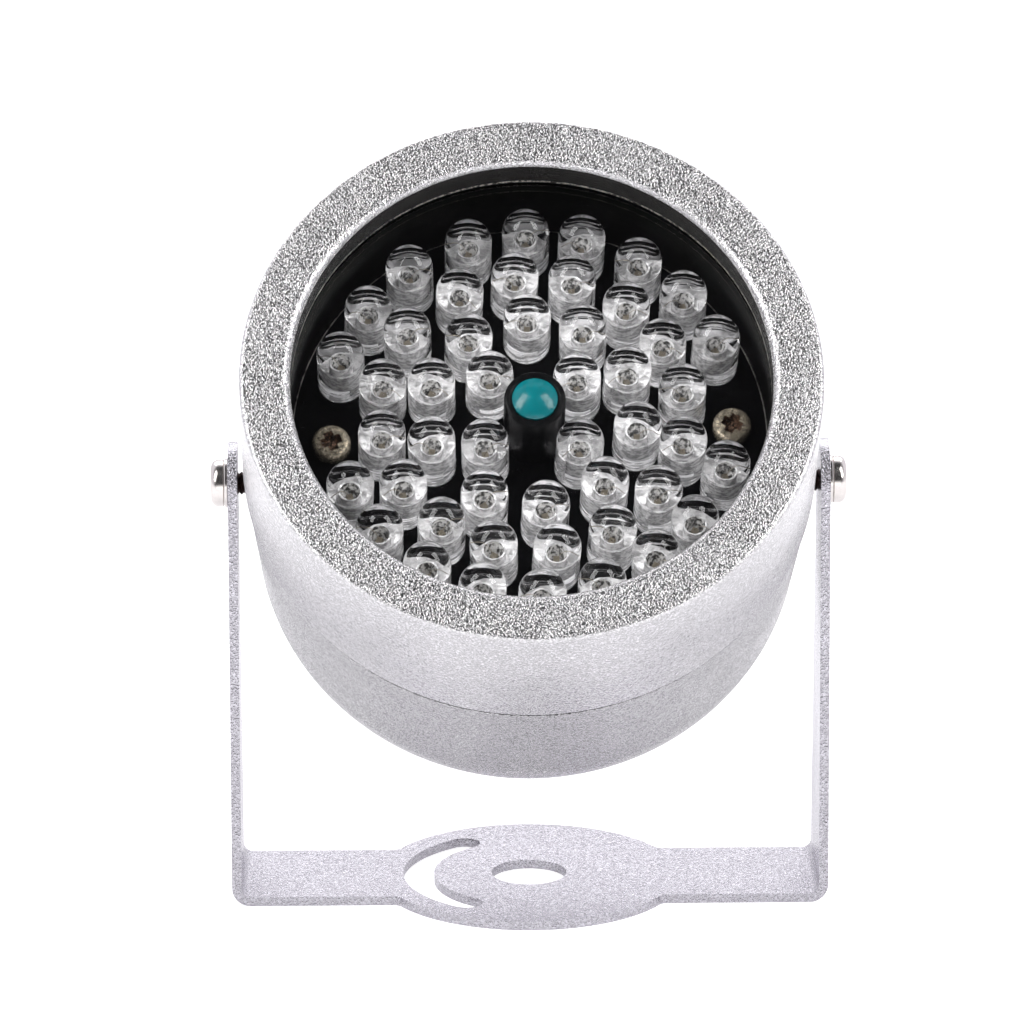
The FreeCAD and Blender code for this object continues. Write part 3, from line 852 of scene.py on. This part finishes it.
def chip_and_wire(size):
    """The chip in the cup and the wire from it to the post."""
    mesh = bmesh.new()
    foot = size.cup_level - 0.00063
    block((0.0003, 0.0003, 0.00018), Vector((0, 0, foot + 0.00011)), mesh)
    start = Vector((0, 0, foot + 0.00022))
    end = Vector((-0.0014, 0, size.cup_level - 0.0004))
    steps = 6
    for step in range(steps):
        low = wire_point(start, end, step / steps)
        high = wire_point(start, end, (step + 1) / steps)
        piece = cylinder(0.00002, low, high, steps=6)
        append(mesh, piece, Matrix.Identity(4))
        piece.free()
    return mesh


def wire_point(start, end, share):
    """A point of the bond wire's loop."""
    rise = 0.0009 * math.sin(math.pi * share) * (1 - 0.3 * share)
    return start.lerp(end, share) + Vector((0, 0, rise))


class ILLUMINATOR_OT_diodes(Operator):
    """Clear diodes with cup, chip, posts and wire, one set for each ring"""
    bl_idname = "illuminator.diodes"
    bl_label = "Diodes"

    def execute(self, context):
        size = context.scene.diode_sizes
        draw = random.Random(48)
        resin = once("cast_clear_resin", clear, (1.0, 1.0, 1.0), 1.53, 0.0,
                     **{"Sheen Weight": 0.05, "Sheen Roughness": 0.08})
        # White mottled finish of the foot's middle: painted light and shade inside the diodes.
        painted_light_foot = once("matt_resin_foot", speckled, (0.99, 0.98, 1.0), scale=1100.0, variation=0.65,
                         contrast=8.0, smooth=0.4, rough=0.6)
        # Silver-plated frames and cups, with strong dark and bright blotches that are painted glints and shade.
        silver = once("silver_plate", speckled, (1.0, 0.99, 1.0), scale=2400.0, variation=0.5, contrast=7.0,
                      smooth=0.1, rough=0.25, metallic=0.4, bump_height=0.00012)
        bowl = once("bright_bowl", speckled, (1.0, 0.99, 0.98), scale=4600.0, variation=0.9, contrast=8.0,
                    smooth=0.1, rough=0.25, metallic=0.4, bump_height=0.00012)
        gold = once("bond_gold", speckled, (0.34, 0.30, 0.24), scale=3000.0, smooth=0.2, rough=0.4,
                    metallic=0.6)
        for node in DIODE_RINGS:
            bodies, frames, wires = bmesh.new(), bmesh.new(), bmesh.new()
            for points in islands(node):
                foot = min(point.z for point in points)
                height = max(point.z for point in points) - foot
                centre = middle(points)
                lean = Matrix.Rotation(draw.uniform(-size.lean, size.lean), 4, "X")
                lean = lean @ Matrix.Rotation(draw.uniform(-size.lean, size.lean), 4, "Y")
                turn = Matrix.Rotation(draw.uniform(-0.6, 0.6) + math.pi * draw.randint(0, 1), 4, "Z")
                spot = Matrix.Translation((centre.x, centre.y, foot)) @ lean @ turn
                for target, shape in ((bodies, resin_body(size, height)), (frames, lead_frame(size)),
                                      (wires, chip_and_wire(size))):
                    append(target, shape, spot)
                    shape.free()
            kind = node.replace("led_ring_", "")
            finish_piece("diode_bodies_" + kind, bodies, LAMP_PLACE, "lamp", [node],
                         [resin, painted_light_foot])
            finish_piece("diode_frames_" + kind, frames, LAMP_PLACE, "lamp", [], [silver, bowl])
            finish_piece("diode_wires_" + kind, wires, LAMP_PLACE, "lamp", [], [gold])
        return {"FINISHED"}


class ILLUMINATOR_OT_sensor(Operator):
    """Light sensor and its rubber sleeve"""
    bl_idname = "illuminator.sensor"
    bl_label = "Light sensor"

    def execute(self, context):
        centre, radius = lamp_box("light_sensor")
        spot = LAMP_PLACE @ Matrix.Translation((centre.x, centre.y, 0))
        tip, foot = depth_span("light_sensor")
        ball = 0.0037
        rise = math.degrees(math.acos(radius / ball))
        dome = at(0, tip + ball)
        profile = [at(0, tip)] + list(reversed(arc(dome, ball, rise, 87, 14))) + [at(radius, foot), at(0, foot)]
        tint = once("teal_resin", speckled, (0.002, 0.165, 0.188), scale=300.0, variation=0.12,
                    smooth=0.14, rough=0.2, bump_height=0.000002)
        finish_piece("sensor_dome", turned(profile, 64, closed=False), spot, "lamp",
                     ["light_sensor"], [tint])
        outer = lamp_box("sensor_sleeve")[1]
        top, bottom = depth_span("sensor_sleeve")
        inner = radius + 0.00005
        soft = 0.00034
        sleeve = arc(at(inner + soft, top + soft), soft, 180, 90, 5)
        sleeve += arc(at(outer - soft, top + soft), soft, 90, 0, 5)
        sleeve += [at(outer, bottom), at(inner, bottom)]
        tube = once("sleeve_rubber", speckled, (0.003, 0.003, 0.0035), scale=1200.0, variation=0.3,
                    smooth=0.2, rough=0.3, bump_height=0.000006, **{"Specular IOR Level": 0.15})
        finish_piece("sensor_tube", turned(sleeve, 64), spot, "lamp",
                     ["sensor_sleeve"], [tube])
        return {"FINISHED"}


# Fasteners

THREAD_PITCH = 0.0005
THREAD_ROOT = 0.8


def pan_head(head_radius, head_height, shank_radius, length, crown_share, slot_share, finishes):
    """A pan-head screw along +Z: head, cross recess and threaded shank have one finish each."""
    crown = head_radius * crown_share
    profile = [Vector((0, 0, -length)), Vector((shank_radius * THREAD_ROOT, 0, -length))]
    for line in range(int(length / THREAD_PITCH) - 1):
        foot = -length + THREAD_PITCH * (line + 0.5)
        profile += [Vector((shank_radius, 0, foot)),
                    Vector((shank_radius * THREAD_ROOT, 0, foot + THREAD_PITCH / 2))]
    profile += [Vector((shank_radius * THREAD_ROOT, 0, 0)), Vector((head_radius * 0.97, 0, 0)),
                Vector((head_radius, 0, head_radius * 0.03))]
    side = Vector((head_radius - crown, 0, head_height - crown * 1.1))
    profile += arc(side, crown, 0, 80, 8)
    profile.append(Vector((0, 0, head_height)))
    body = turned(profile, 48, closed=False)
    cutter = bmesh.new()
    span, slot, recess = head_radius * (0.9 + slot_share), head_radius * slot_share, head_height * 0.62
    for turn in (0, math.pi / 2):
        bar = bmesh.new()
        shape = Matrix.Diagonal((span, slot, recess * 2, 1.0))
        bmesh.ops.create_cube(bar, size=1.0, matrix=shape)
        for vertex in bar.verts:
            if vertex.co.z < 0:
                vertex.co.x *= 0.45
                vertex.co.y *= 0.6
        append(cutter, bar, Matrix.Translation((0, 0, head_height)) @ Matrix.Rotation(turn, 4, "Z"))
        bar.free()
    screw = cut_recess(body, cutter, finishes)
    # The threaded shank takes the third finish, a dark painted shade.
    for face in screw.faces:
        if face.calc_center_median().z < -THREAD_PITCH / 4:
            face.material_index = 2
    return screw


def cut_recess(body, cutter, finishes):
    """Cut the recess and give its walls the second finish."""
    base = new_object("screw", body)
    tool = new_object("recess", cutter)
    for owner, materials in ((base, finishes[:1]), (tool, finishes[1:2])):
        for material in materials:
            owner.data.materials.append(material)
    modifier = base.modifiers.new("recess", "BOOLEAN")
    modifier.operation = "DIFFERENCE"
    modifier.solver = "EXACT"
    modifier.use_self = True
    modifier.material_mode = "TRANSFER"
    modifier.object = tool
    depsgraph = bpy.context.evaluated_depsgraph_get()
    data = bpy.data.meshes.new_from_object(base.evaluated_get(depsgraph))
    recess_slots = [number for number, material in enumerate(data.materials)
                    if material == finishes[1]]
    result = bmesh.new()
    result.from_mesh(data)
    for face in result.faces:
        face.material_index = 1 if face.material_index in recess_slots else 0
    for used in (base, tool):
        mesh = used.data
        bpy.data.objects.remove(used)
        bpy.data.meshes.remove(mesh)
    bpy.data.meshes.remove(data)
    return result


class ILLUMINATOR_OT_board_screws(Operator):
    """Screws that hold the board"""
    bl_idname = "illuminator.board_screws"
    bl_label = "Board screws"

    def execute(self, context):
        mesh = bmesh.new()
        finishes = (warm_nickel(), brown_recess(), shank_shade())
        screw = pan_head(0.00205, 0.0013, 0.0011, 0.006, 0.3, 0.62, finishes)
        top = FRONT - depth_span("led_board")[0]
        for place, turn in zip(screw_axes("board_screws"), (20, 65)):
            spot = Matrix.Translation((place.x, place.y, top))
            append(mesh, screw, spot @ Matrix.Rotation(math.radians(turn), 4, "Z"))
        screw.free()
        made = finish_piece("board_screw_pair", mesh, LAMP_PLACE, "lamp",
                            ["board_screws"], finishes)
        level_shading(made)
        return {"FINISHED"}


class ILLUMINATOR_OT_pivot_screws(Operator):
    """Pivot screws and the washers under their heads"""
    bl_idname = "illuminator.pivot_screws"
    bl_label = "Pivot screws"

    def execute(self, context):
        low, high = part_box("pivot_screws")
        washer_low, washer_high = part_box("pivot_washers")
        seat = washer_high.x + 0.00005
        finishes = (nickel(), pivot_recess_shade(), shank_shade())
        screw = pan_head(0.0025, high.x - seat, 0.00125, 0.0096, 0.34, 0.25, finishes)
        screws, washers = bmesh.new(), bmesh.new()
        thickness = 0.00035
        outer = (washer_high.z - washer_low.z) / 2
        soft = 0.00008
        washer = turned([Vector((0.00135, 0, 0)), Vector((outer - soft, 0, 0)), Vector((outer, 0, soft)),
                         Vector((outer, 0, thickness - soft)), Vector((outer - soft, 0, thickness)),
                         Vector((0.00135, 0, thickness))], 48)
        for side, turn in ((-1, 30), (1, 75)):
            outward = Matrix.Rotation(math.pi / 2 * side, 4, "Y")
            spin = Matrix.Rotation(math.radians(turn), 4, "Z")
            append(screws, screw, Matrix.Translation((side * seat, 0, 0)) @ outward @ spin)
            append(washers, washer, Matrix.Translation((side * (washer_high.x - thickness), 0, 0)) @ outward)
        screw.free()
        washer.free()
        made = finish_piece("pivot_screw_pair", screws, LAMP_PLACE, "lamp",
                            ["pivot_screws"], finishes)
        level_shading(made)
        finish_piece("pivot_washer_pair", washers, LAMP_PLACE, "lamp", ["pivot_washers"],
                     [nickel()])
        return {"FINISHED"}


class ILLUMINATOR_OT_bracket(Operator):
    """Folded bracket with softened sheet edges"""
    bl_idname = "illuminator.bracket"
    bl_label = "Bracket"

    def execute(self, context):
        size = context.scene.housing_sizes
        mesh = bmesh.new()
        mesh.from_mesh(frame["nodes"]["bracket"].data)
        bmesh.ops.remove_doubles(mesh, verts=mesh.verts, dist=1e-6)
        bmesh.ops.dissolve_limit(mesh, angle_limit=math.radians(0.5), use_dissolve_boundaries=False,
                                 verts=mesh.verts, edges=mesh.edges, delimit=set())
        edges = [edge for edge in mesh.edges if edge.calc_face_angle(0.0) > math.radians(35)]
        bmesh.ops.bevel(mesh, geom=edges, offset=size.soft_edge, offset_type="OFFSET", segments=2,
                        profile=0.5, affect="EDGES", material=-1, clamp_overlap=True)
        # The bracket's silver is a darker, bluer copy of the housing's paint: the blue is a painted reflection
        # tint.
        made = finish_piece("bracket_sheet", mesh, Matrix.Identity(4), "bracket",
                            ["bracket"], [once("hammered_silver_sheet", silver_paint, (0.76, 0.75, 0.795),
                                               contrast=0.65)])
        level_shading(made)
        return {"FINISHED"}


class ILLUMINATOR_OT_inlet(Operator):
    """Rubber grommet of the cable inlet"""
    bl_idname = "illuminator.inlet"
    bl_label = "Cable inlet"

    def execute(self, context):
        top, tip = depth_span("cable_grommet")
        flange = 0.0048
        lip = 0.0044
        inner_face = BACK_DEPTH - BACK_WALL
        soft = 0.0003
        profile = [at(INLET_BORE, top), at(lip, top), at(lip, inner_face), at(INLET_RADIUS, inner_face),
                   at(INLET_RADIUS, BACK_DEPTH), at(flange, BACK_DEPTH)]
        profile += arc(at(flange - soft, tip - soft), soft, 0, -90, 5)
        profile += arc(at(INLET_BORE + soft, tip - soft), soft, -90, -180, 5)
        finish_piece("inlet_grommet", turned(profile, 64), LAMP_PLACE, "lamp",
                     ["cable_grommet"], [rubber()])
        return {"FINISHED"}


# Stage

def floor_material():
    """Pale floor that shows white to the camera and keeps the object's soft shadow."""
    material, tree, shader = new_material("pale_floor")
    path = add_node(tree, "ShaderNodeLightPath")
    mirrored = add_node(tree, "ShaderNodeMath", operation="MAXIMUM")
    dimmed = add_node(tree, "ShaderNodeMath", operation="MULTIPLY")
    dimmed.inputs[1].default_value = 0.63
    seen = add_node(tree, "ShaderNodeMath", operation="MAXIMUM")
    glow = add_node(tree, "ShaderNodeMath", operation="MULTIPLY")
    glow.inputs[1].default_value = 0.72
    set_inputs(shader, {"Base Color": (0.8, 0.8, 0.8, 1.0), "Roughness": 0.9})
    tree.links.new(path.outputs["Is Glossy Ray"], mirrored.inputs[0])
    tree.links.new(path.outputs["Is Transmission Ray"], mirrored.inputs[1])
    tree.links.new(path.outputs["Is Camera Ray"], seen.inputs[0])
    tree.links.new(mirrored.outputs[0], dimmed.inputs[0])
    tree.links.new(dimmed.outputs[0], seen.inputs[1])
    tree.links.new(seen.outputs[0], glow.inputs[0])
    tint = add_node(tree, "ShaderNodeMix", data_type="RGBA")
    tint.inputs[6].default_value = (*REFLECTED_TINT, 1.0)
    tint.inputs[7].default_value = (1.0, 1.0, 1.0, 1.0)
    tree.links.new(path.outputs["Is Camera Ray"], tint.inputs["Factor"])
    tree.links.new(tint.outputs[2], shader.inputs["Emission Color"])
    tree.links.new(glow.outputs[0], shader.inputs["Emission Strength"])
    return material


def room_world(strength):
    """A plain pale room, darker towards the front, white where the camera sees it."""
    world = bpy.data.worlds.new("room")
    world.use_nodes = True
    tree = world.node_tree
    background = tree.nodes["Background"]
    path = add_node(tree, "ShaderNodeLightPath")
    place = add_node(tree, "ShaderNodeTexCoord")
    towards = add_node(tree, "ShaderNodeVectorMath", operation="DOT_PRODUCT")
    towards.inputs[1].default_value = DARK_DIRECTION
    fall = set_inputs(add_node(tree, "ShaderNodeMapRange", interpolation_type="SMOOTHSTEP"),
                      {"From Min": 0.15, "From Max": 0.62, "To Min": 1.0, "To Max": 0.03})
    reflected = add_node(tree, "ShaderNodeMath", operation="MAXIMUM")
    level = add_node(tree, "ShaderNodeMix", data_type="FLOAT")
    level.inputs[2].default_value = strength
    seen = add_node(tree, "ShaderNodeMix", data_type="FLOAT")
    seen.inputs[3].default_value = 1.0
    link = tree.links.new
    link(place.outputs["Generated"], towards.inputs[0])
    link(towards.outputs["Value"], fall.inputs["Value"])
    link(path.outputs["Is Glossy Ray"], reflected.inputs[0])
    link(path.outputs["Is Transmission Ray"], reflected.inputs[1])
    link(reflected.outputs[0], level.inputs["Factor"])
    link(fall.outputs["Result"], level.inputs[3])
    link(path.outputs["Is Camera Ray"], seen.inputs["Factor"])
    link(level.outputs[0], seen.inputs[2])
    link(seen.outputs[0], background.inputs["Strength"])
    tint = add_node(tree, "ShaderNodeMix", data_type="RGBA")
    tint.inputs[6].default_value = (*REFLECTED_TINT, 1.0)
    tint.inputs[7].default_value = (1.0, 1.0, 1.0, 1.0)
    link(path.outputs["Is Camera Ray"], tint.inputs["Factor"])
    link(tint.outputs[2], background.inputs["Color"])
    return world


def soft_box(name, place, aim, width, height, power):
    """A rectangular soft light that looks at a point."""
    data = bpy.data.lights.new(name, "AREA")
    data.shape = "RECTANGLE"
    data.size = width
    data.size_y = height
    data.energy = power
    lamp = bpy.data.objects.new(name, data)
    bpy.context.scene.collection.objects.link(lamp)
    turn = (aim - place).to_track_quat("-Z", "Y").to_matrix().to_4x4()
    lamp.matrix_world = Matrix.Translation(place) @ turn
    lamp.visible_camera = False
    return lamp


def place_camera(look):
    """The photograph's camera."""
    flat = math.cos(look.elevation)
    back = Vector((math.sin(look.azimuth) * flat, -math.cos(look.azimuth) * flat,
                   math.sin(look.elevation)))
    data = bpy.data.cameras.new("camera")
    data.sensor_width = SENSOR_WIDTH
    data.lens = look.focal_length
    camera = bpy.data.objects.new("camera", data)
    bpy.context.scene.collection.objects.link(camera)
    turn = back.to_track_quat("Z", "Y").to_matrix().to_4x4()
    roll = Matrix.Rotation(look.roll, 4, "Z")
    camera.matrix_world = Matrix.Translation(CAMERA_AIM + back * look.distance) @ turn @ roll
    bpy.context.scene.camera = camera


class ILLUMINATOR_OT_stage(Operator):
    """Floor, room, soft lights and camera"""
    bl_idname = "illuminator.stage"
    bl_label = "Stage"

    def execute(self, context):
        look = context.scene.stage_look
        context.scene.view_settings.view_transform = "Standard"
        mesh = bmesh.new()
        bmesh.ops.create_grid(mesh, x_segments=1, y_segments=1, size=3.0)
        floor = new_object("floor", mesh)
        floor.data.materials.append(floor_material())
        context.scene.world = room_world(look.room)
        aim = Vector((0, 0, 0.04))
        for side in (-1, 1):
            place = aim + Vector((side * 0.648, -0.401, 0.648)) * look.light_distance
            soft_box("side_light", place, aim, 0.3, 0.62, look.side_light)
        soft_box("back_light", Vector((0, 0.38, 0.42)), aim, 0.6, 0.3, look.top_light)
        soft_box("low_front_light", Vector((0, -0.26, 0.01)), aim, 0.3, 0.12, look.front_light)
        place_camera(look)
        return {"FINISHED"}


class ILLUMINATOR_PT_panel(Panel):
    """All steps of the lamp in the sidebar"""
    bl_label = "Illuminator"
    bl_idname = "ILLUMINATOR_PT_panel"
    bl_space_type = "VIEW_3D"
    bl_region_type = "UI"
    bl_category = "Illuminator"

    def draw(self, context):
        for step in STEPS:
            self.layout.operator(step.bl_idname)
        for group in ("housing_sizes", "diode_sizes", "paint_look", "stage_look"):
            settings = getattr(context.scene, group)
            box = self.layout.box()
            for key in settings.__annotations__:
                box.prop(settings, key)


GROUPS = {"housing_sizes": HousingSizes, "diode_sizes": DiodeSizes, "paint_look": PaintLook,
          "stage_look": StageLook}
STEPS = (ILLUMINATOR_OT_stage, ILLUMINATOR_OT_front_shell, ILLUMINATOR_OT_rear_shell,
         ILLUMINATOR_OT_seals, ILLUMINATOR_OT_window, ILLUMINATOR_OT_board, ILLUMINATOR_OT_diodes,
         ILLUMINATOR_OT_sensor, ILLUMINATOR_OT_board_screws, ILLUMINATOR_OT_pivot_screws,
         ILLUMINATOR_OT_bracket, ILLUMINATOR_OT_inlet)


def register():
    for name, group in GROUPS.items():
        bpy.utils.register_class(group)
        setattr(bpy.types.Scene, name, PointerProperty(type=group))
    for step in STEPS:
        bpy.utils.register_class(step)
    bpy.utils.register_class(ILLUMINATOR_PT_panel)


def unregister():
    bpy.utils.unregister_class(ILLUMINATOR_PT_panel)
    for step in reversed(STEPS):
        bpy.utils.unregister_class(step)
    for name, group in GROUPS.items():
        delattr(bpy.types.Scene, name)
        bpy.utils.unregister_class(group)


def main():
    register()
    for step in STEPS:
        family, name = step.bl_idname.split(".")
        getattr(getattr(bpy.ops, family), name)()


if __name__ == "__main__":
    main()
